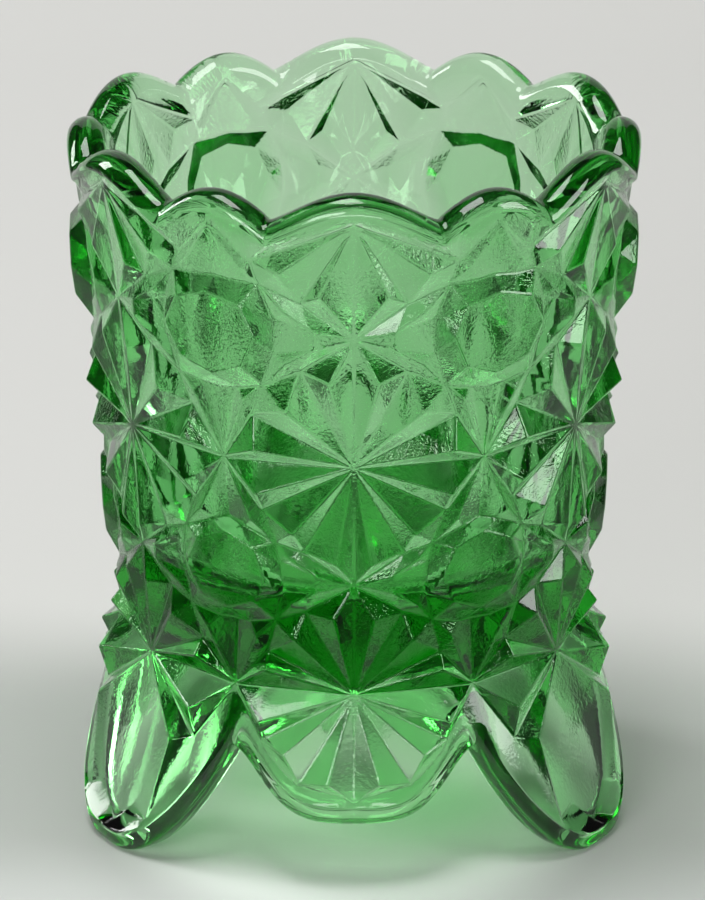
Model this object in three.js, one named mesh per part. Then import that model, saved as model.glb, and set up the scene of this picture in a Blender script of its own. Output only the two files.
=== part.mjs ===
// Toothpick holder of pressed green glass, with a daisy and button pattern round the outside.
// One piece of glass: a scalloped cup on a thick base, and below it a hollow skirt that ends in three
// feet with a shorter lobe between each two. Lengths are in mm, Z is up, the front faces -Y.
import * as THREE from "three";

// Heights above the ground of the rows of daisies, of the buttons between them and of the points where
// the daisies of one column meet.
const lowRowHeight = 18.9;
const lowMeetHeight = 30.4;
const lowButtonHeight = 31.5;
const midRowHeight = 42.6;
const highMeetHeight = 55.7;
const highButtonHeight = 56.1;
const lipRowHeight = 68.4;

// Radius of the grooves' bottoms, at the ground, the arches and the levels above.
const groundRadius = 27.6;
const archRadius = 24.2;
const lowRowRadius = 22.7;
const lowMeetRadius = 23.5;
const midRowRadius = 24.5;
const highMeetRadius = 25.8;
const lipRowRadius = 26.6;

// Depth of the pressed relief: how far the peaks and the buttons stand out of the grooves.
const reliefDepth = 1.4;

// Rim: six broad scallops over the daisies, six narrow ones over the buttons, and a rolled edge.
const broadPeakHeight = 70;
const narrowPeakHeight = 69.4;
const valleyHeight = 67;
const rimRadius = 27.6;
const rimThickness = 3.8;
const rimRollHeight = 1.9;

// Bore of the cup, from the rim's inside down to a flat floor with a rounded corner.
const boreLevelHeight = 60;
const boreLevelRadius = 22.7;
const floorHeight = 27.2;
const floorCornerRadius = 3.6;
const boreFootRadius = 19.6;

// Skirt: its rounded lower edge dips to the feet and lobes and rises to an arch between them. The edge
// stands out of the wall as a lip, further at a foot than at an arch.
const archHeight = 12.8;
const lobeHeight = 6.6;
const skirtThickness = 4.4;
const skirtRollHeight = 2.4;
const footLipDepth = 1.35;
const archLipDepth = 0.5;
const groundedDepth = 0.26;
const ceilingHeight = 17.8;
const ceilingCornerRadius = 2.2;
const ceilingRadius = 17.2;

// Counts round the holder, and the turns and steps that follow from them.
const daisyColumns = 6;
const stepsPerQuarter = 10;
const rollSteps = 8;
const cornerSteps = 3;
const fullTurn = 2 * Math.PI;
const quarterTurn = fullTurn / 4;
const columnTurn = fullTurn / daisyColumns;
const halfColumnTurn = columnTurn / 2;
const stations = daisyColumns * 2 * stepsPerQuarter;

// One quarter of a daisy, with the quarter of the button at its corner. Straight grooves run from the pit
// to the petals' tips, which are numbered by their angle from the level one, and the glass between two
// grooves rises to a peak. A collar slopes from the petals up to the button's eight-sided face.
// Each point has its share of the way across to the button's line, of the way up to the next meeting
// point, and its rise off the wall as a share of the relief.
const quarterShares = {
  pit: [0, 0, 0],
  tip0: [1, 0, 0],
  peak15: [0.71, 0.12, 1.2],
  tip30: [0.75, 0.37, 0],
  peak45: [0.48, 0.44, 0.8],
  tip60: [0.385, 0.74, 0],
  peak75: [0.17, 0.68, 0.8],
  tip90: [0, 1, 0],
  starCorner: [0.66, 0.6, 0.1],
  wingSide: [0.79, 0.48, 0.4],
  wingTop: [0.48, 0.8, 0.4],
  wedge: [0.28, 0.93, 0.6],
  wedgeMiddle: [0.28, 1, 0.6],
  collarSide: [1, 0.54, -0.1],
  collarLow: [0.86, 0.56, 0],
  collarHigh: [0.57, 0.86, 0],
  collarTop: [0.56, 1, 0],
  faceSide: [1, 0.665, 1],
  faceCorner: [0.763, 0.763, 1.15],
  faceTop: [0.665, 1, 1.3],
  faceMiddle: [1, 1, 1],
};
const petalFacets = [
  "pit tip0 peak15", "pit peak15 tip30", "pit tip30 peak45",
  "pit peak45 tip60", "pit tip60 peak75", "pit peak75 tip90",
];
const buttonFacets = [
  "tip0 tip30 peak15", "tip60 tip90 peak75", "tip30 starCorner peak45", "peak45 starCorner tip60",
  "tip0 collarSide collarLow", "tip0 collarLow wingSide", "tip0 wingSide tip30",
  "tip30 wingSide starCorner", "wingSide collarLow starCorner",
  "starCorner collarHigh wingTop", "starCorner wingTop tip60", "wingTop collarHigh wedge",
  "tip60 wingTop wedge", "tip60 wedge tip90", "wedge wedgeMiddle tip90",
  "collarHigh collarTop wedge", "wedge collarTop wedgeMiddle",
  "collarSide faceSide collarLow", "collarLow faceSide faceCorner", "collarLow faceCorner starCorner",
  "starCorner faceCorner collarHigh", "collarHigh faceCorner faceTop", "collarHigh faceTop collarTop",
  "faceSide faceMiddle faceCorner", "faceCorner faceMiddle faceTop",
];

// Faces of the lower buttons, which stand out less.
const lowFaceShares = {
  faceSide: [1, 0.665, 0.7],
  faceCorner: [0.763, 0.763, 0.8],
  faceTop: [0.665, 1, 0.95],
  faceMiddle: [1, 1, 0.7],
};

// Lower half of the middle daisies, whose petals hang a little lower than the upper ones stand.
const midLowShares = {
  ...quarterShares,
  peak15: [0.71, 0.25, 1.1],
  tip30: [0.71, 0.425, 0],
  peak45: [0.444, 0.57, 0.85],
  tip60: [0.385, 0.755, 0],
  peak75: [0.13, 0.81, 0.85],
  starCorner: [0.6, 0.7, 0.1],
  wingSide: [0.78, 0.52, 0.4],
  wingTop: [0.48, 0.82, 0.4],
  collarSide: [1, 0.56, -0.3],
  collarLow: [0.86, 0.6, 0],
  ...lowFaceShares,
};

// Upper half of the low daisies.
const lowUpperShares = {
  ...quarterShares,
  peak15: [0.69, 0.2, 1],
  tip30: [0.7, 0.33, 0],
  peak45: [0.45, 0.5, 0.85],
  tip60: [0.385, 0.72, 0],
  peak75: [0.15, 0.72, 0.85],
  starCorner: [0.62, 0.62, 0.1],
  wingSide: [0.78, 0.46, 0.3],
  collarSide: [1, 0.53, -0.75],
  collarLow: [0.86, 0.55, -0.2],
  ...lowFaceShares,
};

// Lower halves of the low row, with the share of the way down to the ground instead of the way up.
const skirtShares = {
  pit: lowUpperShares.pit,
  tip0: lowUpperShares.tip0,
  peak15: [0.71, 0.127, 1.6],
  archTop: [1, 0.178, 0.3],
};
const lobeShares = {
  ...skirtShares,
  tip30: [7 / stepsPerQuarter, 0.235, 0.6],
  peak45: [0.51, 0.28, 1.3],
  tip60: [4 / stepsPerQuarter, 0.43, 0.6],
  peak75: [0.186, 0.42, 1.2],
  tip90: [0, 0.52, 0.4],
};
const footShares = {
  ...skirtShares,
  tip30: [7 / stepsPerQuarter, 0.3, 0.3],
  peak45: [0.54, 0.33, 1.2],
  tip60: [4 / stepsPerQuarter, 0.775, 0.45],
  peak75: [0.22, 0.74, 0.1],
  tip90: [0, 0.878, 0],
};
const skirtEdge = ["tip90", "tip60", "tip30", "archTop"];

// Upper row: half daisies that fade into the rim, whose border follows the scallops.
const valleyStep = 6;
const valleyShare = valleyStep / stepsPerQuarter;
const lipShares = {
  ...quarterShares,
  pit: [0, 0.08, 0.6],
  lipBroad: [4 / stepsPerQuarter, 0.2, 0.6],
  lipValley: [valleyShare, 0.3, 0.6],
  lipSide: [1, 0.15, 0.6],
  tip30: [0.72, 0.43, 0.1],
  peak45: [0.5, 0.48, 0.8],
  tip60: [0.37, 0.73, 0],
  peak75: [0.235, 0.65, 0.75],
  wingSide: [0.79, 0.5, 0.3],
  collarSide: [1, 0.585, 0.1],
  collarLow: [0.86, 0.6, 0.1],
  faceSide: [1, 0.7, 1],
};
const lipEdge = ["pit", "lipBroad", "lipValley", "lipSide"];
const lipFacets = [
  ...petalFacets.slice(2),
  ...buttonFacets.slice(1).map((facet) => facet.replace("tip0", "lipSide")),
];

// Exponents that shape the rim's scallops and the skirt's edge.
const broadShapeShare = 1.2;
const narrowShapeShare = 0.9;
const lobeShapeShare = 1.8;
const footShapeShare = 1.9;
const footFlatShare = 0.12;
const edgeShapeShare = 0.6;

const wallLine = [
  [0, groundRadius],
  [archHeight, archRadius],
  [lowRowHeight, lowRowRadius],
  [lowMeetHeight, lowMeetRadius],
  [midRowHeight, midRowRadius],
  [highMeetHeight, highMeetRadius],
  [lipRowHeight, lipRowRadius],
];

const mix = (from, to, share) => from + (to - from) * share;

// Radius of the grooves' bottoms at a height.
function wallRadius(height) {
  const above = wallLine.findIndex(([level]) => level > height);
  const next = above < 0 ? wallLine.length - 1 : Math.max(above, 1);
  const [lowLevel, lowRadius] = wallLine[next - 1];
  const [highLevel, highRadius] = wallLine[next];
  return mix(lowRadius, highRadius, (height - lowLevel) / (highLevel - lowLevel));
}

// A point at an angle from the front, a radius and a height.
function point(angle, radius, height) {
  return new THREE.Vector3(radius * Math.sin(angle), -radius * Math.cos(angle), height);
}

const skin = [];

// Adds a triangle, turned round where its quarter is mirrored.
function addTriangle(a, b, c, mirrored) {
  skin.push(...(mirrored ? [a, c, b] : [a, b, c]));
}

// Turns the shares of a quarter into points: its column, its side (1 or -1) and the heights of the
// daisy's row, of the meeting point and of the button that it reaches to.
function quarterPlacer(column, side, rowHeight, meetHeight, buttonHeight) {
  return ([across, up, rise]) => {
    const reach = mix(meetHeight, buttonHeight, across);
    const height = mix(rowHeight, reach, up);
    const angle = column * columnTurn + side * across * halfColumnTurn;
    return point(angle, wallRadius(height) + rise * reliefDepth, height);
  };
}

function addFacets(facets, shares, place, mirrored) {
  for (const facet of facets) {
    const [a, b, c] = facet.split(" ").map((name) => place(shares[name]));
    addTriangle(a, b, c, mirrored);
  }
}

// A border through named points, with a point at each station of its quarter.
function borderPoints(names, shares, place) {
  return Array.from({ length: stepsPerQuarter + 1 }, (_, step) => {
    const share = step / stepsPerQuarter;
    const next = Math.max(1, names.findIndex((name) => shares[name][0] >= share));
    const from = shares[names[next - 1]];
    const to = shares[names[next]];
    const along = (share - from[0]) / (to[0] - from[0]);
    return place([share, mix(from[1], to[1], along), mix(from[2], to[2], along)]);
  });
}

// Fans from a point to a stretch of border.
function addFan(apex, border, first, last, mirrored) {
  for (let step = first; step < last; step++) {
    addTriangle(apex, border[step], border[step + 1], mirrored);
  }
}

// The border of a quarter runs from the daisy's line to the button's, so a ring of all stations takes it
// forwards on one side of each column and backwards on the other.
function ringOf(borderOfQuarter) {
  const ring = [];
  for (let column = 0; column < daisyColumns; column++) {
    ring.push(...borderOfQuarter(column, 1).slice(0, stepsPerQuarter));
    ring.push(...borderOfQuarter((column + 1) % daisyColumns, -1).slice(1).reverse());
  }
  return ring;
}

function addRegularQuarter(column, side, shares, rowHeight, meetHeight, buttonHeight) {
  const place = quarterPlacer(column, side, rowHeight, meetHeight, buttonHeight);
  const mirrored = side * (meetHeight - rowHeight) < 0;
  addFacets([...petalFacets, ...buttonFacets], shares, place, mirrored);
}

function lipPlacer(column, side) {
  return quarterPlacer(column, side, lipRowHeight, highMeetHeight, highButtonHeight);
}

function addLipQuarter(column, side) {
  const place = lipPlacer(column, side);
  const mirrored = side > 0;
  addFacets(lipFacets, lipShares, place, mirrored);
  addFan(place(lipShares.tip30), borderPoints(lipEdge, lipShares, place), 0, stepsPerQuarter, mirrored);
}

// Feet stand under every other column.
const isFoot = (column) => column % 2 === 1;
const skirtSharesOf = (column) => (isFoot(column) ? footShares : lobeShares);

function skirtPlacer(column, side) {
  return quarterPlacer(column, side, lowRowHeight, 0, 0);
}

function addSkirtQuarter(column, side) {
  const shares = skirtSharesOf(column);
  const place = skirtPlacer(column, side);
  const mirrored = side > 0;
  const border = borderPoints(skirtEdge, shares, place);
  const stepOf = (name) => Math.round(shares[name][0] * stepsPerQuarter);
  addFacets([...petalFacets, "tip0 tip30 peak15"], shares, place, mirrored);
  addFan(place(shares.peak75), border, stepOf("tip90"), stepOf("tip60"), !mirrored);
  addFan(place(shares.peak45), border, stepOf("tip60"), stepOf("tip30"), !mirrored);
  addFan(place(shares.tip0), border, stepOf("tip30"), stepOf("archTop"), !mirrored);
}

// Share of the way from a daisy's line to the button's at a station, and the daisy's column.
function stationShare(station) {
  const column = Math.round(station / (2 * stepsPerQuarter));
  return [Math.abs(station - column * 2 * stepsPerQuarter) / stepsPerQuarter, column % daisyColumns];
}

// Height of the rim's top: a broad scallop over the daisy and a narrow one over the button.
function rimHeight(share) {
  const broad = share < valleyShare;
  const reach = broad ? share / valleyShare : (1 - share) / (1 - valleyShare);
  const shape = broad ? broadShapeShare : narrowShapeShare;
  const lift = Math.cos(quarterTurn * Math.min(reach, 1)) ** shape;
  return mix(valleyHeight, broad ? broadPeakHeight : narrowPeakHeight, lift);
}

// Height of the skirt's lowest line: the bottom of a foot is flat for a short way.
function skirtHeight(share, column) {
  if (!isFoot(column)) {
    const lift = Math.sin(quarterTurn * share ** lobeShapeShare) ** 2;
    return mix(lobeHeight, archHeight, lift);
  }
  const reach = Math.max(0, (share - footFlatShare) / (1 - footFlatShare));
  return archHeight * reach ** footShapeShare;
}

const stationRing = (heightAndRadius) =>
  Array.from({ length: stations }, (_, station) => {
    const [share, column] = stationShare(station);
    const [height, radius] = heightAndRadius(share, column);
    return point((fullTurn * station) / stations, radius, height);
  });

// Rolled edges as rings from the outside to the inside: up and over the rim, down and under the skirt.
const rollTurns = Array.from({ length: rollSteps + 1 }, (_, step) => (2 * quarterTurn * step) / rollSteps);
const rimRings = rollTurns.map((turn) =>
  stationRing((share) => {
    const middle = rimRadius - rimThickness / 2;
    const height = rimHeight(share) - rimRollHeight * (1 - Math.sin(turn));
    return [height, middle + (rimThickness / 2) * Math.cos(turn)];
  }),
);
// The skirt's edge is squarer than the rim's: its sine and cosine are brought nearer to one.
const squared = (size) => Math.sign(size) * Math.abs(size) ** edgeShapeShare;
const skirtRings = rollTurns.map((turn) =>
  stationRing((share, column) => {
    const lowest = skirtHeight(share, column);
    const edge = lowest + skirtRollHeight;
    const lip = mix(footLipDepth, archLipDepth, lowest / archHeight);
    const middle = wallRadius(edge) + lip - skirtThickness / 2;
    const height = edge - skirtRollHeight * squared(Math.sin(turn)) - groundedDepth;
    return [Math.max(0, height), middle + (skirtThickness / 2) * squared(Math.cos(turn))];
  }),
);

const levelRing = (height, radius) => stationRing(() => [height, radius]);

// Rings round a corner, from a wall to a flat: the wall's radius and the flat's height.
function cornerRings(wallSize, flatHeight, cornerRadius, way) {
  const turns = Array.from({ length: cornerSteps + 1 }, (_, step) => (quarterTurn * step) / cornerSteps);
  return turns.map((turn) =>
    levelRing(
      flatHeight + way * cornerRadius * (1 - Math.sin(turn)),
      wallSize - cornerRadius * (1 - Math.cos(turn)),
    ),
  );
}

// Joins two rings with a band of triangles. The band faces out where the second ring is the upper one.
function addBand(lower, upper) {
  for (let station = 0; station < stations; station++) {
    const next = (station + 1) % stations;
    addTriangle(lower[station], lower[next], upper[next]);
    addTriangle(lower[station], upper[next], upper[station]);
  }
}

function addBands(rings) {
  rings.slice(1).forEach((ring, index) => addBand(rings[index], ring));
}

// Closes the last ring with a flat disc.
function addDisc(ring, facesUp) {
  const middle = new THREE.Vector3(0, 0, ring[0].z);
  for (let station = 0; station < stations; station++) {
    addTriangle(middle, ring[station], ring[(station + 1) % stations], !facesUp);
  }
}

// The patterned outside, row by row.
for (let column = 0; column < daisyColumns; column++) {
  for (const side of [1, -1]) {
    addLipQuarter(column, side);
    addRegularQuarter(column, side, quarterShares, midRowHeight, highMeetHeight, highButtonHeight);
    addRegularQuarter(column, side, midLowShares, midRowHeight, lowMeetHeight, lowButtonHeight);
    addRegularQuarter(column, side, lowUpperShares, lowRowHeight, lowMeetHeight, lowButtonHeight);
    addSkirtQuarter(column, side);
  }
}

// Over the rim, down the bore and across its floor.
const lipBorder = ringOf((column, side) => borderPoints(lipEdge, lipShares, lipPlacer(column, side)));
const floorRings = cornerRings(boreFootRadius, floorHeight, floorCornerRadius, 1);
addBands([lipBorder, ...rimRings, levelRing(boreLevelHeight, boreLevelRadius), ...floorRings]);
addDisc(floorRings.at(-1), true);

// Under the base, down the hollow of the skirt and round its lower edge.
const skirtBorder = ringOf((column, side) =>
  borderPoints(skirtEdge, skirtSharesOf(column), skirtPlacer(column, side)),
);
const ceilingRings = cornerRings(ceilingRadius, ceilingHeight, ceilingCornerRadius, -1);
addDisc(ceilingRings.at(-1), false);
addBands([...ceilingRings.toReversed(), ...skirtRings.toReversed(), skirtBorder]);

const glass = new THREE.MeshStandardMaterial({ color: 0x2f9a48, roughness: 0.06, metalness: 0 });
const body = new THREE.Mesh(new THREE.BufferGeometry().setFromPoints(skin), glass);
body.geometry.computeVertexNormals();
body.name = "glass_body";

const holder = new THREE.Group();
holder.name = "toothpick_holder";
holder.add(body);

export default holder;
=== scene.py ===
import math

import bpy
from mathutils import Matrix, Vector


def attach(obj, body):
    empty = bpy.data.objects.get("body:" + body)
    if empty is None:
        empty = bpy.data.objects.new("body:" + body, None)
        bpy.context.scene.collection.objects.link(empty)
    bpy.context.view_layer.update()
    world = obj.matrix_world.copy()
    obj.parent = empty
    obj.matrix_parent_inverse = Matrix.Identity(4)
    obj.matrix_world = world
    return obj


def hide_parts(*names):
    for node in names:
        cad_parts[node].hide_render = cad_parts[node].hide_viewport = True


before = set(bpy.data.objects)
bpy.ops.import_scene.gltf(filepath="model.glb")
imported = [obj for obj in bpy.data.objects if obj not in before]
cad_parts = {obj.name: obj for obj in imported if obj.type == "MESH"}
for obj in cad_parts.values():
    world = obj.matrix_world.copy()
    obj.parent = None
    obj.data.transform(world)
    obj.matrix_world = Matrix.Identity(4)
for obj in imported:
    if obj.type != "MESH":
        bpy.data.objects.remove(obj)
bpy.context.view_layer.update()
print("frame loaded:", sorted(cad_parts))

mm = 0.001


# sRGB hex to the linear colour that Blender's sockets take
def hexColour(code):
    channels = [int(code[i:i + 2], 16) / 255 for i in (1, 3, 5)]
    return [c / 12.92 if c <= 0.04045 else ((c + 0.055) / 1.055) ** 2.4 for c in channels] + [1.0]


# adds a node with its settings and its links: an input takes a value or another node's output
def addNode(tree, kind, settings=None, inputs=None):
    node = tree.nodes.new(kind)
    for name, value in (settings or {}).items():
        setattr(node, name, value)
    for name, value in (inputs or {}).items():
        if isinstance(value, bpy.types.NodeSocket):
            tree.links.new(value, node.inputs[name])
        else:
            node.inputs[name].default_value = value
    return node


def newMaterial(name):
    material = bpy.data.materials.new(name)
    material.use_nodes = True
    material.node_tree.nodes.clear()
    return material, material.node_tree


# Soda-lime glass, coloured green with chromium, pressed in an iron mould and fire-polished.
# The mould's skin is left on the outside as a fine grain that sparkles; the plunger left the cup smooth.
# The colour comes from depth: pale in the thin wall, deep green in the solid base.
glassLook = {
    "surface": "#ffffff",    # the surface itself takes no colour
    "ior": 1.517,            # soda-lime glass
    "roughness": 0.0,
    "tint": "#41e558",       # the depth absorbs what each channel lacks of white,
    "density": 150.0,        # this many times per metre
    "grainSize": 0.38,       # mm between the mould's grains, coarser than the real 0.1 mm so that it shows
    "grainDepth": 0.05,      # mm
    "grainDetail": 2.0,
    "grainRoughness": 0.55,
    "patchSize": 4.5,        # mm across the patches that keep more or less of the grain
    "patchDetail": 1.0,
    "patchLow": 0.38,        # noise at which a patch keeps the least grain
    "patchHigh": 0.58,       # noise at which it keeps all of it
    "leastGrain": 0.25,
    "waveSize": 5.0,         # mm between the slow waves that the fire polish leaves
    "waveDetail": 0.0,
    "waveDepth": 0.05,       # mm
}


def pressedGreenGlass():
    look = glassLook
    material, tree = newMaterial("pressed green soda-lime glass")
    place = addNode(tree, "ShaderNodeTexCoord").outputs["Object"]
    moulded = addNode(tree, "ShaderNodeAttribute", {"attribute_name": "moulded"}).outputs["Fac"]
    grain = addNode(tree, "ShaderNodeTexNoise", {},
                    {"Vector": place, "Scale": 1 / (look["grainSize"] * mm),
                     "Detail": look["grainDetail"], "Roughness": look["grainRoughness"]})
    patches = addNode(tree, "ShaderNodeTexNoise", {},
                      {"Vector": place, "Scale": 1 / (look["patchSize"] * mm), "Detail": look["patchDetail"]})
    patchRange = addNode(tree, "ShaderNodeMapRange", {"interpolation_type": "SMOOTHSTEP"},
                         {"Value": patches.outputs["Fac"], "From Min": look["patchLow"],
                          "From Max": look["patchHigh"], "To Min": look["leastGrain"], "To Max": 1.0})
    grainMask = addNode(tree, "ShaderNodeMath", {"operation": "MULTIPLY"})
    tree.links.new(moulded, grainMask.inputs[0])
    tree.links.new(patchRange.outputs["Result"], grainMask.inputs[1])
    waves = addNode(tree, "ShaderNodeTexNoise", {},
                    {"Vector": place, "Scale": 1 / (look["waveSize"] * mm), "Detail": look["waveDetail"]})
    waveBump = addNode(tree, "ShaderNodeBump", {},
                       {"Height": waves.outputs["Fac"], "Strength": 1.0, "Distance": look["waveDepth"] * mm})
    grainBump = addNode(tree, "ShaderNodeBump", {},
                        {"Height": grain.outputs["Fac"], "Distance": look["grainDepth"] * mm,
                         "Strength": grainMask.outputs["Value"], "Normal": waveBump.outputs["Normal"]})
    glass = addNode(tree, "ShaderNodeBsdfPrincipled", {},
                    {"Base Color": hexColour(look["surface"]), "Roughness": look["roughness"],
                     "IOR": look["ior"], "Transmission Weight": 1.0, "Normal": grainBump.outputs["Normal"]})
    depth = addNode(tree, "ShaderNodeVolumeAbsorption", {},
                    {"Color": hexColour(look["tint"]), "Density": look["density"]})
    addNode(tree, "ShaderNodeOutputMaterial", {},
            {"Surface": glass.outputs["BSDF"], "Volume": depth.outputs["Volume"]})
    return material


# Matte seamless paper, pale grey, with painted shade: a darker tone where it lies flat beside the holder,
# where its shade falls, and a painted pool of light below the holder: the ground that the glass is seen
# against.
# Edges and reaches are in metres from the holder's middle, with plus to the back: the tone goes from near
# to the painted shade (middle) between the first two edges, and from that shade to far between the last two.
paperLook = {
    "near": "#cacdca",       # in front of the holder
    # painted shade: a darker band of paper beside the holder
    "middle": "#b4b8b3",     # beside it
    "far": "#d0d0cd",        # behind it
    "nearEdge": -0.034, "paintedShadeEdge": -0.012, "fade": 0.018, "farEdge": 0.052,
    # painted pool of light below the holder, standing in for the light that real glass throws down
    "under": "#f0f6f0",      # below the holder, where real glass throws most of its light
    "underReach": 0.02, "underEnd": 0.033,
    "underSquash": (1.3, 1.0, 1.0), "underShift": (0.0, 0.008, 0.0),   # an oval, a little in front
    "roughness": 0.6, "specular": 0.2,
    "fibreSize": 0.8,        # mm between the paper's fibres, coarser than the real ones so that they show
    "fibreDepth": 0.004,     # mm
    "fibreDetail": 3.0, "fibreStrength": 0.3,
}


def seamlessPaper():
    look = paperLook
    material, tree = newMaterial("matte grey paper, painted shade and light")
    place = addNode(tree, "ShaderNodeTexCoord").outputs["Object"]
    back = addNode(tree, "ShaderNodeSeparateXYZ", {}, {"Vector": place}).outputs["Y"]
    # the paper's tone, darkened into painted shade in the band beside the holder
    rear = addNode(tree, "ShaderNodeMapRange", {"interpolation_type": "SMOOTHSTEP"},
                   {"Value": back, "From Min": look["fade"], "From Max": look["farEdge"]})
    front = addNode(tree, "ShaderNodeMapRange", {"interpolation_type": "SMOOTHSTEP"},
                    {"Value": back, "From Min": look["nearEdge"], "From Max": look["paintedShadeEdge"]})
    flat = addNode(tree, "ShaderNodeMixRGB", {},
                   {"Fac": front.outputs["Result"], "Color1": hexColour(look["near"]),
                    "Color2": hexColour(look["middle"])})
    toneWithShade = addNode(tree, "ShaderNodeMixRGB", {},
                   {"Fac": rear.outputs["Result"], "Color1": flat.outputs["Color"],
                    "Color2": hexColour(look["far"])})
    # painted pool of light: a pale oval below the holder, full within one reach and gone beyond the other
    paintedPoolOval = addNode(tree, "ShaderNodeVectorMath", {"operation": "MULTIPLY_ADD"})
    tree.links.new(place, paintedPoolOval.inputs[0])
    paintedPoolOval.inputs[1].default_value = look["underSquash"]
    paintedPoolOval.inputs[2].default_value = look["underShift"]
    away = addNode(tree, "ShaderNodeVectorMath", {"operation": "LENGTH"}, {"Vector": paintedPoolOval.outputs["Vector"]})
    under = addNode(tree, "ShaderNodeMapRange", {"interpolation_type": "SMOOTHSTEP"},
                    {"Value": away.outputs["Value"], "From Min": look["underEnd"],
                     "From Max": look["underReach"]})
    paperWithPaintedLight = addNode(tree, "ShaderNodeMixRGB", {},
                  {"Fac": under.outputs["Result"], "Color1": toneWithShade.outputs["Color"],
                   "Color2": hexColour(look["under"])})
    fibre = addNode(tree, "ShaderNodeTexNoise", {},
                    {"Vector": place, "Scale": 1 / (look["fibreSize"] * mm), "Detail": look["fibreDetail"]})
    bump = addNode(tree, "ShaderNodeBump", {},
                   {"Height": fibre.outputs["Fac"], "Distance": look["fibreDepth"] * mm,
                    "Strength": look["fibreStrength"]})
    paper = addNode(tree, "ShaderNodeBsdfPrincipled", {},
                    {"Base Color": paperWithPaintedLight.outputs["Color"], "Roughness": look["roughness"],
                     "Specular IOR Level": look["specular"], "Normal": bump.outputs["Normal"]})
    addNode(tree, "ShaderNodeOutputMaterial", {}, {"Surface": paper.outputs["BSDF"]})
    return material


# Sizes of the glass in mm: the same form as the solid, with finer steps.
glassBody = {
    "lowRowHeight": 18.9, "lowMeetHeight": 30.4, "lowButtonHeight": 31.5, "midRowHeight": 42.6,
    "highMeetHeight": 55.7, "highButtonHeight": 56.1, "lipRowHeight": 68.4,
    "reliefDepth": 1.4,
    "wallLine": [
        [0, 27.6], [12.8, 24.2], [18.9, 22.7], [30.4, 23.5], [42.6, 24.5], [55.7, 25.8], [68.4, 26.6],
    ],
    "broadPeak": 70, "narrowPeak": 69.4, "valley": 67,
    "rimRadius": 27.6, "rimThickness": 3.8, "rimRoll": 1.9,
    "boreLevel": 60, "boreLevelRadius": 22.7, "floorHeight": 27.2, "floorCorner": 3.6, "boreFootRadius": 19.6,
    "archHeight": 12.8, "lobeHeight": 6.6, "skirtThickness": 4.4, "skirtRoll": 2.4, "grounded": 0.26,
    "footLip": 1.35, "archLip": 0.5,
    "ceilingHeight": 17.8, "ceilingCorner": 2.2, "ceilingRadius": 17.2,
    "columns": 6, "steps": 30, "rollSteps": 44, "cornerSteps": 20,
    "edgeWidth": 0.23,       # half the width of the worn edges between the facets
    "edgeSegments": 2,
    "edgeTurn": 7,           # degrees: facets that meet flatter than this have no worn edge
    "flatWeight": 80,        # over 50, a large facet counts for more than a worn edge in the shading
}
sizes = glassBody
quarterTurn = math.pi / 2
columnTurn = 2 * math.pi / sizes["columns"]
stations = sizes["columns"] * 2 * sizes["steps"]
weldDigits = 4               # points that agree to so many digits of a mm are one
roundingError = 1e-9

# One quarter of a daisy and of the button at its corner: straight grooves from the pit to the petals'
# tips, peaks between them, a sloping collar and an eight-sided face. Each point has its share across,
# its share up and its rise as a share of the relief.
midShares = {
    "pit": [0, 0, 0], "tip0": [1, 0, 0], "peak15": [0.71, 0.12, 1.2], "tip30": [0.75, 0.37, 0],
    "peak45": [0.48, 0.44, 0.8], "tip60": [0.385, 0.74, 0], "peak75": [0.17, 0.68, 0.8], "tip90": [0, 1, 0],
    "starCorner": [0.66, 0.6, 0.1], "wingSide": [0.79, 0.48, 0.4], "wingTop": [0.48, 0.8, 0.4],
    "wedge": [0.28, 0.93, 0.6], "wedgeMiddle": [0.28, 1, 0.6],
    "collarSide": [1, 0.54, -0.1], "collarLow": [0.86, 0.56, 0], "collarHigh": [0.57, 0.86, 0],
    "collarTop": [0.56, 1, 0], "faceSide": [1, 0.665, 1], "faceCorner": [0.763, 0.763, 1.15],
    "faceTop": [0.665, 1, 1.3], "faceMiddle": [1, 1, 1],
}
petalFacets = [
    "pit tip0 peak15", "pit peak15 tip30", "pit tip30 peak45",
    "pit peak45 tip60", "pit tip60 peak75", "pit peak75 tip90",
]
buttonFacets = [
    "tip0 tip30 peak15", "tip60 tip90 peak75", "tip30 starCorner peak45", "peak45 starCorner tip60",
    "tip0 collarSide collarLow", "tip0 collarLow wingSide", "tip0 wingSide tip30",
    "tip30 wingSide starCorner", "wingSide collarLow starCorner",
    "starCorner collarHigh wingTop", "starCorner wingTop tip60", "wingTop collarHigh wedge",
    "tip60 wingTop wedge", "tip60 wedge tip90", "wedge wedgeMiddle tip90",
    "collarHigh collarTop wedge", "wedge collarTop wedgeMiddle",
    "collarSide faceSide collarLow", "collarLow faceSide faceCorner", "collarLow faceCorner starCorner",
    "starCorner faceCorner collarHigh", "collarHigh faceCorner faceTop", "collarHigh faceTop collarTop",
    "faceSide faceMiddle faceCorner", "faceCorner faceMiddle faceTop",
]
lowFaceShares = {
    "faceSide": [1, 0.665, 0.7], "faceCorner": [0.763, 0.763, 0.8], "faceTop": [0.665, 1, 0.95],
    "faceMiddle": [1, 1, 0.7],
}
midLowShares = {
    **midShares, **lowFaceShares,
    "peak15": [0.71, 0.25, 1.1], "tip30": [0.71, 0.425, 0], "peak45": [0.444, 0.57, 0.85],
    "tip60": [0.385, 0.755, 0], "peak75": [0.13, 0.81, 0.85], "starCorner": [0.6, 0.7, 0.1],
    "wingSide": [0.78, 0.52, 0.4], "wingTop": [0.48, 0.82, 0.4], "collarSide": [1, 0.56, -0.3],
    "collarLow": [0.86, 0.6, 0],
}
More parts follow.
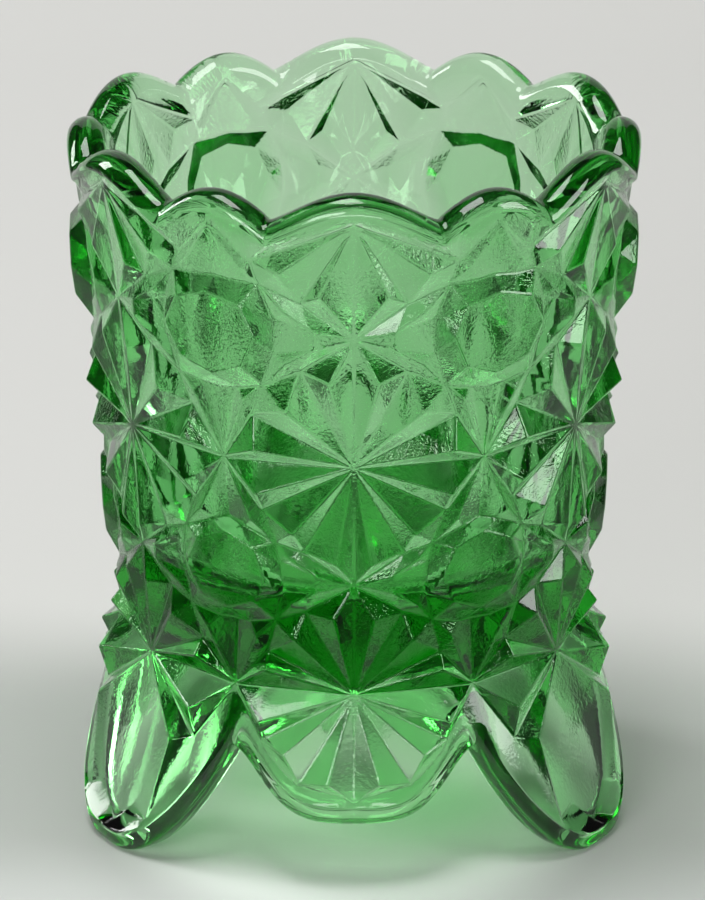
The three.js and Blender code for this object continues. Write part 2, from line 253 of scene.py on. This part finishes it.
lowUpperShares = {
    **midShares, **lowFaceShares,
    "peak15": [0.69, 0.2, 1], "tip30": [0.7, 0.33, 0], "peak45": [0.45, 0.5, 0.85],
    "tip60": [0.385, 0.72, 0], "peak75": [0.15, 0.72, 0.85], "starCorner": [0.62, 0.62, 0.1],
    "wingSide": [0.78, 0.46, 0.3], "collarSide": [1, 0.53, -0.75], "collarLow": [0.86, 0.55, -0.2],
}
skirtShares = {
    "pit": lowUpperShares["pit"], "tip0": lowUpperShares["tip0"],
    "peak15": [0.71, 0.127, 1.6], "archTop": [1, 0.178, 0.3],
}
lobeShares = {
    **skirtShares, "tip30": [0.7, 0.235, 0.6], "peak45": [0.51, 0.28, 1.3], "tip60": [0.4, 0.43, 0.6],
    "peak75": [0.186, 0.42, 1.2], "tip90": [0, 0.52, 0.4],
}
footShares = {
    **skirtShares, "tip30": [0.7, 0.3, 0.3], "peak45": [0.54, 0.33, 1.2], "tip60": [0.4, 0.775, 0.45],
    "peak75": [0.22, 0.74, 0.1], "tip90": [0, 0.878, 0],
}
valleyShare = 0.6
lipShares = {
    **midShares, "pit": [0, 0.08, 0.6], "lipBroad": [0.4, 0.2, 0.6], "lipValley": [valleyShare, 0.3, 0.6],
    "lipSide": [1, 0.15, 0.6], "tip30": [0.72, 0.43, 0.1], "peak45": [0.5, 0.48, 0.8],
    "tip60": [0.37, 0.73, 0], "peak75": [0.235, 0.65, 0.75], "wingSide": [0.79, 0.5, 0.3],
    "collarSide": [1, 0.585, 0.1], "collarLow": [0.86, 0.6, 0.1], "faceSide": [1, 0.7, 1],
}
skirtEdge = ["tip90", "tip60", "tip30", "archTop"]
lipEdge = ["pit", "lipBroad", "lipValley", "lipSide"]
lipFacets = petalFacets[2:] + [facet.replace("tip0", "lipSide") for facet in buttonFacets[1:]]
# Rows of whole quarters: their shares, then the heights of the pits, of the tips that meet and of the buttons
quarterRows = [
    (midShares, "midRowHeight", "highMeetHeight", "highButtonHeight"),
    (midLowShares, "midRowHeight", "lowMeetHeight", "lowButtonHeight"),
    (lowUpperShares, "lowRowHeight", "lowMeetHeight", "lowButtonHeight"),
]

# Exponents that shape the rim's scallops, the line of feet and lobes, and the squarer edge of both
scallopShapeShare = {"broad": 1.2, "narrow": 0.9}
skirtShapeShare = {"foot": 1.9, "lobe": 1.8}
edgeShapeShare = {"foot": 0.6, "lobe": 0.9}
footFlatShare = 0.12         # how much of half a column a foot stands on


def mix(start, end, share):
    return start + (end - start) * share


def wallRadius(height):
    line = sizes["wallLine"]
    after = next((i for i, (level, _) in enumerate(line) if level > height), len(line) - 1)
    after = max(after, 1)
    (lowLevel, lowRadius), (highLevel, highRadius) = line[after - 1], line[after]
    return mix(lowRadius, highRadius, (height - lowLevel) / (highLevel - lowLevel))


def pointAt(angle, radius, height):
    return (radius * math.sin(angle), -radius * math.cos(angle), height)


# Collects welded points and faces, and marks the faces of the pattern: only they carry the mould's grain.
class Skin:
    def __init__(self):
        self.points, self.found, self.faces, self.patterned = [], {}, [], []

    def index(self, point):
        key = tuple(round(x, weldDigits) for x in point)
        if key not in self.found:
            self.found[key] = len(self.points)
            self.points.append(point)
        return self.found[key]

    def face(self, corners, mirrored=False, patterned=False):
        ids = [self.index(p) for p in corners]
        ids = [v for i, v in enumerate(ids) if v != ids[i - 1]]
        if len(ids) > 2:
            self.faces.append(ids[::-1] if mirrored else ids)
            self.patterned.append(patterned)


skin = Skin()


def quarterPlacer(column, side, rowHeight, meetHeight, buttonHeight):
    def place(shares):
        across, up, rise = shares
        height = mix(rowHeight, mix(meetHeight, buttonHeight, across), up)
        angle = column * columnTurn + side * across * columnTurn / 2
        return pointAt(angle, wallRadius(height) + rise * sizes["reliefDepth"], height)
    return place


def addFacets(facets, shares, place, mirrored):
    for facet in facets:
        skin.face([place(shares[name]) for name in facet.split()], mirrored, True)


def borderPoints(names, shares, place):
    border = []
    for step in range(sizes["steps"] + 1):
        share = step / sizes["steps"]
        after = next(i for i, name in enumerate(names) if shares[name][0] >= share - roundingError)
        after = max(1, after)
        start, end = shares[names[after - 1]], shares[names[after]]
        along = (share - start[0]) / (end[0] - start[0])
        border.append(place([share, mix(start[1], end[1], along), mix(start[2], end[2], along)]))
    return border


def addFan(apex, border, first, last, mirrored):
    for i in range(first, last):
        skin.face([apex, border[i], border[i + 1]], mirrored, True)


def ringOf(borderOfQuarter):
    ring = []
    for column in range(sizes["columns"]):
        ring += borderOfQuarter(column, 1)[:-1]
        ring += borderOfQuarter((column + 1) % sizes["columns"], -1)[1:][::-1]
    return ring


def addRegularQuarter(column, side, shares, rowHeight, meetHeight, buttonHeight):
    place = quarterPlacer(column, side, rowHeight, meetHeight, buttonHeight)
    mirrored = side * (meetHeight - rowHeight) < 0
    addFacets(petalFacets + buttonFacets, shares, place, mirrored)


def lipPlacer(column, side):
    heights = [sizes[name] for name in ("lipRowHeight", "highMeetHeight", "highButtonHeight")]
    return quarterPlacer(column, side, *heights)


def lipBorderOfQuarter(column, side):
    return borderPoints(lipEdge, lipShares, lipPlacer(column, side))


def addLipQuarter(column, side):
    place, mirrored = lipPlacer(column, side), side > 0
    addFacets(lipFacets, lipShares, place, mirrored)
    addFan(place(lipShares["tip30"]), lipBorderOfQuarter(column, side), 0, sizes["steps"], mirrored)


def isFoot(column):
    return column % 2 == 1


def footOrLobeShares(column):
    return footShares if isFoot(column) else lobeShares


def skirtPlacer(column, side):
    return quarterPlacer(column, side, sizes["lowRowHeight"], 0, 0)


def skirtBorderOfQuarter(column, side):
    return borderPoints(skirtEdge, footOrLobeShares(column), skirtPlacer(column, side))


def addSkirtQuarter(column, side):
    shares = footOrLobeShares(column)
    place, mirrored = skirtPlacer(column, side), side > 0
    border = skirtBorderOfQuarter(column, side)
    steps = {name: round(shares[name][0] * sizes["steps"]) for name in skirtEdge}
    addFacets([*petalFacets, "tip0 tip30 peak15"], shares, place, mirrored)
    addFan(place(shares["peak75"]), border, steps["tip90"], steps["tip60"], not mirrored)
    addFan(place(shares["peak45"]), border, steps["tip60"], steps["tip30"], not mirrored)
    addFan(place(shares["tip0"]), border, steps["tip30"], steps["archTop"], not mirrored)


# share of the way from a column's middle to the edge between two columns, and the column
def stationShare(station):
    column = int(station / (2 * sizes["steps"]) + 0.5)
    return abs(station - column * 2 * sizes["steps"]) / sizes["steps"], column % sizes["columns"]


def rimHeight(share):
    broad = share < valleyShare
    reach = share / valleyShare if broad else (1 - share) / (1 - valleyShare)
    shape = scallopShapeShare["broad" if broad else "narrow"]
    lift = max(0.0, math.cos(quarterTurn * min(reach, 1))) ** shape
    return mix(sizes["valley"], sizes["broadPeak"] if broad else sizes["narrowPeak"], lift)


def skirtHeight(share, column):
    if isFoot(column):
        reach = max(0, (share - footFlatShare) / (1 - footFlatShare))
        return sizes["archHeight"] * reach ** skirtShapeShare["foot"]
    lift = math.sin(quarterTurn * share ** skirtShapeShare["lobe"]) ** 2
    return mix(sizes["lobeHeight"], sizes["archHeight"], lift)


def stationRing(heightAndRadius):
    ring = []
    for station in range(stations):
        height, radius = heightAndRadius(*stationShare(station))
        ring.append(pointAt(2 * math.pi * station / stations, radius, height))
    return ring


rollTurns = [math.pi * i / sizes["rollSteps"] for i in range(sizes["rollSteps"] + 1)]


def rimRing(turn):
    half = sizes["rimThickness"] / 2
    radius = sizes["rimRadius"] - half + half * math.cos(turn)
    drop = sizes["rimRoll"] * (1 - math.sin(turn))
    return stationRing(lambda share, column: (rimHeight(share) - drop, radius))


# brings a sine or cosine nearer to one, for the squarer edge of feet and lobes
def squared(size, exponent):
    return math.copysign(abs(size) ** exponent, size)


def skirtRing(turn):
    def heightAndRadius(share, column):
        lowest = skirtHeight(share, column)
        exponent = mix(edgeShapeShare["foot" if isFoot(column) else "lobe"], edgeShapeShare["foot"], share)
        edge = lowest + sizes["skirtRoll"]
        lip = mix(sizes["footLip"], sizes["archLip"], lowest / sizes["archHeight"])
        half = sizes["skirtThickness"] / 2
        height = edge - sizes["skirtRoll"] * squared(math.sin(turn), exponent) - sizes["grounded"]
        return max(0, height), wallRadius(edge) + lip - half + half * squared(math.cos(turn), exponent)
    return stationRing(heightAndRadius)


def levelRing(height, radius):
    return stationRing(lambda share, column: (height, radius))


# way is 1 for the cup's floor, whose corner rises from it, and -1 for the hollow's ceiling
def cornerRings(wallSize, flatHeight, cornerRadius, way):
    turns = [quarterTurn * i / sizes["cornerSteps"] for i in range(sizes["cornerSteps"] + 1)]
    return [levelRing(flatHeight + way * cornerRadius * (1 - math.sin(turn)),
                      wallSize - cornerRadius * (1 - math.cos(turn))) for turn in turns]


def addBands(rings):
    for lower, upper in zip(rings, rings[1:]):
        for i in range(stations):
            j = (i + 1) % stations
            skin.face([lower[i], lower[j], upper[j], upper[i]])


def addDisc(ring, facesUp):
    middle = (0, 0, ring[0][2])
    for i in range(stations):
        skin.face([middle, ring[i], ring[(i + 1) % stations]], not facesUp)


for column in range(sizes["columns"]):
    for side in (1, -1):
        addLipQuarter(column, side)
        for shares, *heights in quarterRows:
            addRegularQuarter(column, side, shares, *[sizes[name] for name in heights])
        addSkirtQuarter(column, side)

rimRings = [rimRing(turn) for turn in rollTurns]
boreRing = levelRing(sizes["boreLevel"], sizes["boreLevelRadius"])
floorRings = cornerRings(sizes["boreFootRadius"], sizes["floorHeight"], sizes["floorCorner"], 1)
addBands([ringOf(lipBorderOfQuarter), *rimRings, boreRing, *floorRings])
addDisc(floorRings[-1], True)

skirtRings = [skirtRing(turn) for turn in rollTurns]
ceilingRings = cornerRings(sizes["ceilingRadius"], sizes["ceilingHeight"], sizes["ceilingCorner"], -1)
addDisc(ceilingRings[-1], False)
addBands([*ceilingRings[::-1], *skirtRings[::-1], ringOf(skirtBorderOfQuarter)])
print("glass skin:", len(skin.points), "points,", len(skin.faces), "faces")

mesh = bpy.data.meshes.new("pressedGlass")
mesh.from_pydata([tuple(x * mm for x in p) for p in skin.points], [], skin.faces)
mesh.validate()
patternedPoints = {v for ids, patterned in zip(skin.faces, skin.patterned) if patterned for v in ids}
moulded = mesh.attributes.new("moulded", "FLOAT", "POINT")
for i in range(len(mesh.vertices)):
    moulded.data[i].value = 1.0 if i in patternedPoints else 0.0
holder = bpy.data.objects.new("toothpick_holder_glass", mesh)
bpy.context.scene.collection.objects.link(holder)
mesh.shade_smooth()

# Worn edges between the facets of the pattern: a narrow rounded strip, with flat facets beside it.
# The rolled edges of rim and skirt keep their own curve.
normalsBeside = {}
for polygon, patterned in zip(mesh.polygons, skin.patterned):
    if patterned:
        for key in polygon.edge_keys:
            normalsBeside.setdefault(key, []).append(polygon.normal.copy())
rounding = mesh.attributes.new("bevel_weight_edge", "FLOAT", "EDGE")
for edge in mesh.edges:
    beside = normalsBeside.get(edge.key, [])
    if len(beside) == 2 and beside[0].angle(beside[1], 0) > math.radians(sizes["edgeTurn"]):
        rounding.data[edge.index].value = 1.0
edges = holder.modifiers.new("rounded facet edges", "BEVEL")
edges.width = sizes["edgeWidth"] * mm
edges.segments = sizes["edgeSegments"]
edges.limit_method = "WEIGHT"
edges.use_clamp_overlap = False
edges.miter_outer = "MITER_SHARP"
flat = holder.modifiers.new("flat facets", "WEIGHTED_NORMAL")
flat.mode = "FACE_AREA"
flat.weight = sizes["flatWeight"]
bpy.context.view_layer.update()
evaluated = holder.evaluated_get(bpy.context.evaluated_depsgraph_get())
print("rounded glass:", len(evaluated.data.vertices), "points,", len(evaluated.data.polygons), "faces")

holder.data.materials.append(pressedGreenGlass())
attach(holder, "root")
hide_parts("glass_body")
print("glass piece in place")

# Studio, in metres: a pale paper sweep on a dark lacquered table, in a dim room
studio = {
    "paperWidth": 0.6, "frontEdge": -0.04, "wallDistance": 0.55, "wallHeight": 0.75,
    "sweepRadius": 0.3, "sweepSteps": 16,
    "tableSize": 4.0, "table": "#3b3c3b", "tableDrop": -0.0008, "tableRoughness": 0.6,
    "room": "#e4e8e6", "roomStrength": 0.05,
}

# Soft boxes: place, aim, width and height, and power in watts
softBoxes = {
    "left_soft_box": [(-0.7, 0.33, 0.36), (0, 0, 0.03), (0.2, 0.4), 2.8],
    "right_soft_box": [(0.8, -0.25, 0.3), (0, 0, 0.03), (0.4, 0.4), 3.6],
    "front_soft_box": [(-0.3, -0.75, 0.36), (0, 0, 0.03), (0.4, 0.2), 2.2],
    "low_soft_box": [(0.02, -0.85, 0.13), (0, 0, 0.02), (0.5, 0.08), 0.9],
    "top_soft_box": [(-0.1, -0.05, 0.95), (0, 0, 0.03), (0.6, 0.4), 6.1],
}


def addStagePiece(name, mesh, material):
    mesh.materials.append(material)
    piece = bpy.data.objects.new(name, mesh)
    bpy.context.scene.collection.objects.link(piece)


def addSweep():
    reach, back, bend = studio["paperWidth"] / 2, studio["wallDistance"], studio["sweepRadius"]
    turns = [quarterTurn * i / studio["sweepSteps"] for i in range(1, studio["sweepSteps"] + 1)]
    profile = [(studio["frontEdge"], 0.0), (back - bend, 0.0)]
    profile += [(back - bend + bend * math.sin(turn), bend - bend * math.cos(turn)) for turn in turns]
    profile.append((back, studio["wallHeight"]))
    points = [(x, y, z) for y, z in profile for x in (-reach, reach)]
    faces = [(2 * i, 2 * i + 1, 2 * i + 3, 2 * i + 2) for i in range(len(profile) - 1)]
    sheet = bpy.data.meshes.new("paperSweep")
    sheet.from_pydata(points, [], faces)
    sheet.shade_smooth()
    addStagePiece("paper_sweep", sheet, seamlessPaper())


def addTable():
    reach, drop = studio["tableSize"] / 2, studio["tableDrop"]
    corners = [(x, y, drop) for x, y in ((-reach, -reach), (reach, -reach), (reach, reach), (-reach, reach))]
    board = bpy.data.meshes.new("darkTable")
    board.from_pydata(corners, [], [(0, 1, 2, 3)])
    material, tree = newMaterial("dark lacquered table")
    paint = addNode(tree, "ShaderNodeBsdfPrincipled", {},
                    {"Base Color": hexColour(studio["table"]), "Roughness": studio["tableRoughness"]})
    addNode(tree, "ShaderNodeOutputMaterial", {}, {"Surface": paint.outputs["BSDF"]})
    addStagePiece("dark_table", board, material)


def addSoftBox(name, place, aim, size, power):
    lamp = bpy.data.lights.new(name, "AREA")
    lamp.shape = "RECTANGLE"
    lamp.size, lamp.size_y = size
    lamp.energy = power
    box = bpy.data.objects.new(name, lamp)
    box.location = place
    box.rotation_euler = (Vector(aim) - Vector(place)).to_track_quat("-Z", "Y").to_euler()
    bpy.context.scene.collection.objects.link(box)


addSweep()
addTable()
for name, (place, aim, size, power) in softBoxes.items():
    addSoftBox(name, place, aim, size, power)

world = bpy.data.worlds.new("overcast room")
bpy.context.scene.world = world
world.use_nodes = True
world.node_tree.nodes.clear()
air = addNode(world.node_tree, "ShaderNodeBackground", {},
              {"Color": hexColour(studio["room"]), "Strength": studio["roomStrength"]})
addNode(world.node_tree, "ShaderNodeOutputWorld", {}, {"Surface": air.outputs["Background"]})

# Camera: 0.6 m away and 20 degrees above the middle of the holder, square to the front column.
# Lengths are in metres, the elevation in degrees and the sensor in mm.
view = {
    "distance": 0.6, "elevation": 19.95, "aimHeight": 0.03554, "aimSide": -0.000147,
    "sensorSize": 36, "frameHeight": 0.0881,
}
elevation = math.radians(view["elevation"])
aim = Vector((view["aimSide"], 0, view["aimHeight"]))
away = Vector((0, -math.cos(elevation), math.sin(elevation)))
lens = bpy.data.cameras.new("long_lens")
lens.sensor_width = view["sensorSize"]
lens.lens = view["sensorSize"] * view["distance"] / view["frameHeight"]
camera = bpy.data.objects.new("camera", lens)
camera.location = aim + away * view["distance"]
camera.rotation_euler = (-away).to_track_quat("-Z", "Y").to_euler()
bpy.context.scene.collection.objects.link(camera)
bpy.context.scene.camera = camera
bpy.context.scene.view_settings.view_transform = "Standard"
print("studio and camera set")
